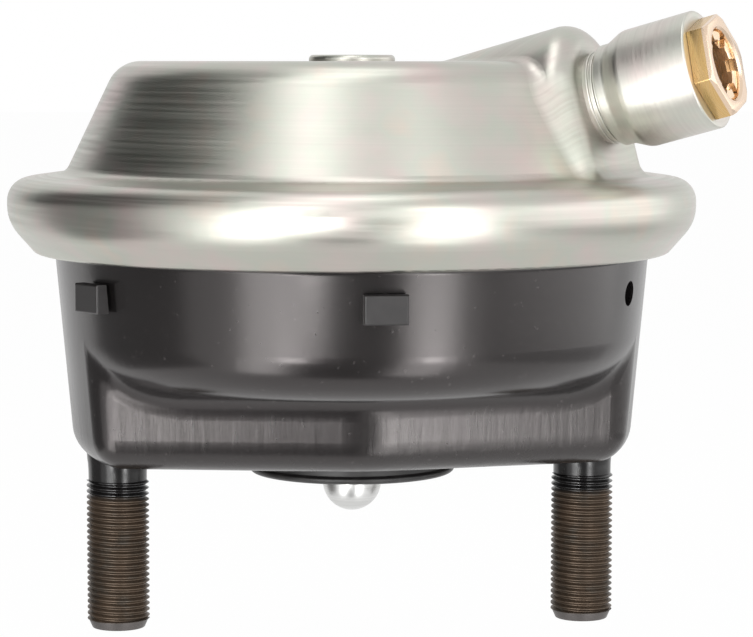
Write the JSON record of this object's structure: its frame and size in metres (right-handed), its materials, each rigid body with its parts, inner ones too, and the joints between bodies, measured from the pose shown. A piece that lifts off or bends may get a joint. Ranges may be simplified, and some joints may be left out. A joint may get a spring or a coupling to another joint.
{
  "type": "air brake chamber",
  "caption": "Diaphragm service brake chamber with a rolled pressure cover, angled push-in air port, threaded mounting studs and a sprung push rod.",
  "frame": {"origin": "centre of the mounting face, midway between the two studs", "axes": "+Z along the chamber axis from the mounting face towards the pressure cover; +X through the right-hand stud when the open side of the vent ring, -Y, faces the viewer"},
  "size_m": [0.1796, 0.1754, 0.1571],
  "materials": {
    "housing_coating": "satin black dip coating over drawn steel, faintly streaked",
    "stud_steel": "oiled dark threaded steel, black near the face",
    "cover_zinc": "clear zinc plating with fine turned lines and faint iridescence",
    "nozzle_zinc": "clear zinc plating over a turned surface",
    "fitting_brass": "bright machined brass",
    "seal_rubber": "black moulded rubber",
    "seal_plastic": "natural moulded plastic",
    "spring_steel": "bright spring steel",
    "diaphragm_rubber": "black fabric-reinforced rubber",
    "plate_steel": "zinc-plated pressed steel",
    "rod_steel": "bright turned steel",
    "spring_coating": "black coated spring wire",
    "collar_rubber": "black moulded rubber",
    "plug_plastic": "black moulded plastic"
  },
  "bodies": {
    "casing": {"lower_housing": "housing_coating", "stud_left": "stud_steel", "stud_right": "stud_steel", "pressure_cover": "cover_zinc", "port_nozzle": "nozzle_zinc", "nozzle_weld_ring": "nozzle_zinc", "fitting_body": "fitting_brass", "fitting_seal": "seal_rubber", "tube_seal": "seal_rubber", "tube_washer": "seal_plastic", "grip_ring": "spring_steel", "diaphragm": "diaphragm_rubber", "spring_seat": "plate_steel", "return_spring": "spring_coating", "sealing_collar": "collar_rubber", "rod_boot": "collar_rubber", "boot_retainer": "plate_steel", "vent_plug_1": "plug_plastic", "vent_plug_3": "plug_plastic", "vent_plug_4": "plug_plastic", "vent_plug_5": "plug_plastic", "vent_plug_6": "plug_plastic"},
    "rod": {"push_plate": "plate_steel", "push_rod": "rod_steel", "rod_washer": "plate_steel", "boot_clamp": "spring_steel"},
    "collet": {"release_collet": "fitting_brass"}
  },
  "joints": [
    {"name": "rod_stroke", "type": "slide", "parent": "casing", "child": "rod", "axis": [0, 0, -1], "range_m": [0, 0.057], "stiffness_N_per_m": 1500, "springref_m": -0.05, "deforming": ["return_spring", "rod_boot", "diaphragm"]},
    {"name": "collet_release", "type": "slide", "parent": "casing", "child": "collet", "axis": [-0.817, 0.5145, -0.2605], "range_m": [0, 0.0012], "stiffness_N_per_m": 300, "springref_m": -0.001}
  ]
}
